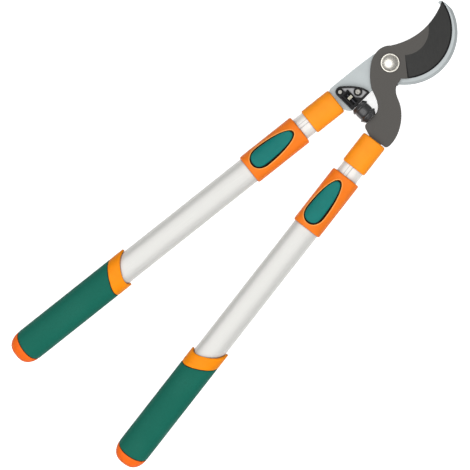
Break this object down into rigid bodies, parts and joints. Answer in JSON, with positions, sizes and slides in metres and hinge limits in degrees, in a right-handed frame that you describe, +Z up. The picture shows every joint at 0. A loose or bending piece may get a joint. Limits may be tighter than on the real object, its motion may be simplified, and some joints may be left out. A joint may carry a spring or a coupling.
{
  "type": "telescopic bypass loppers",
  "caption": "Long-handled bypass loppers with a curved blade, a hooked counter blade, telescopic oval handles with push-button locks and soft grips, shown closed.",
  "frame": {"origin": "on the blade pivot's axis, at the resting plane that the pivot bolt's end, its nut and both grips lie on", "axes": "+Y from the pivot to the blade tips, +X towards the cutting blade's handle, +Z up from the resting plane, towards the bolt's domed head"},
  "size_m": [0.2173, 0.6648, 0.032],
  "materials": {
    "hook_steel": "satin ground steel",
    "coated_blade": "dark low-friction coating, satin",
    "nickel": "bright nickel plating",
    "plated_steel": "zinc-plated steel",
    "bronze": "sintered bronze, dull",
    "bracket_black": "black moulded plastic, semi-gloss",
    "bracket_grey": "grey steel insert",
    "bumper_rubber": "black rubber, semi-gloss",
    "ferrule_orange": "yellow-orange moulded plastic",
    "collar_orange": "orange moulded plastic",
    "inner_alloy": "pale anodised aluminium",
    "outer_alloy": "satin silver aluminium",
    "dark_plastic": "dark slide plastic",
    "button_teal": "teal moulded plastic, satin",
    "spring_steel": "spring steel strip",
    "grip_orange": "orange moulded plastic, satin",
    "grip_green": "green soft-touch rubber"
  },
  "bodies": {
    "hook_side": {"hook_blade": "hook_steel", "pivot_bolt": "nickel", "front_washer": "plated_steel", "friction_washer": "bronze", "back_washer": "plated_steel", "pivot_nut": "plated_steel", "bracket_frame": "bracket_black", "bracket_plate": "bracket_grey", "bracket_rivet": "plated_steel", "bracket_screw": "plated_steel", "bumper_stud": "plated_steel", "bumper_nut": "plated_steel", "bumper_body": "bumper_rubber", "left_ferrule": "ferrule_orange", "left_tang_insert": "dark_plastic", "left_tang_rivet_upper": "plated_steel", "left_tang_rivet_lower": "plated_steel", "left_inner_tube": "inner_alloy", "left_end_plug": "dark_plastic"},
    "blade_side": {"cutting_blade": "coated_blade", "pivot_bush": "bronze", "right_ferrule": "ferrule_orange", "right_tang_insert": "dark_plastic", "right_tang_rivet_upper": "plated_steel", "right_tang_rivet_lower": "plated_steel", "right_inner_tube": "inner_alloy", "right_end_plug": "dark_plastic"},
    "left_outer": {"left_outer_tube": "outer_alloy", "left_guide_bush": "dark_plastic", "left_collar": "collar_orange", "left_button_pin": "plated_steel", "left_button_spring": "spring_steel", "left_grip_core": "grip_orange", "left_grip_sleeve": "grip_green"},
    "right_outer": {"right_outer_tube": "outer_alloy", "right_guide_bush": "dark_plastic", "right_collar": "collar_orange", "right_button_pin": "plated_steel", "right_button_spring": "spring_steel", "right_grip_core": "grip_orange", "right_grip_sleeve": "grip_green"},
    "left_button": {"left_release_button": "button_teal", "left_lock_pin": "plated_steel"},
    "right_button": {"right_release_button": "button_teal", "right_lock_pin": "plated_steel"}
  },
  "joints": [
    {"name": "blade_pivot", "type": "hinge", "parent": "hook_side", "child": "blade_side", "pos_m": [0, 0, 0.018], "axis": [0, 0, 1], "range_deg": [0, 50]},
    {"name": "left_handle_slide", "type": "slide", "parent": "hook_side", "child": "left_outer", "axis": [-0.1184, -0.993, 0], "range_m": [0, 0.3]},
    {"name": "left_button_press", "type": "hinge", "parent": "left_outer", "child": "left_button", "pos_m": [-0.02738, -0.16794, 0.02635], "axis": [0.993, -0.1184, 0], "range_deg": [0, 4.5], "stiffness_Nm_per_rad": 3.8, "springref_deg": -2.29, "deforming": ["left_button_spring"]},
    {"name": "right_handle_slide", "type": "slide", "parent": "blade_side", "child": "right_outer", "axis": [0.1184, -0.993, 0], "range_m": [0, 0.3]},
    {"name": "right_button_press", "type": "hinge", "parent": "right_outer", "child": "right_button", "pos_m": [0.06036, -0.17005, 0.02635], "axis": [0.993, 0.1184, 0], "range_deg": [0, 4.5], "stiffness_Nm_per_rad": 3.8, "springref_deg": -2.29, "deforming": ["right_button_spring"]}
  ]
}
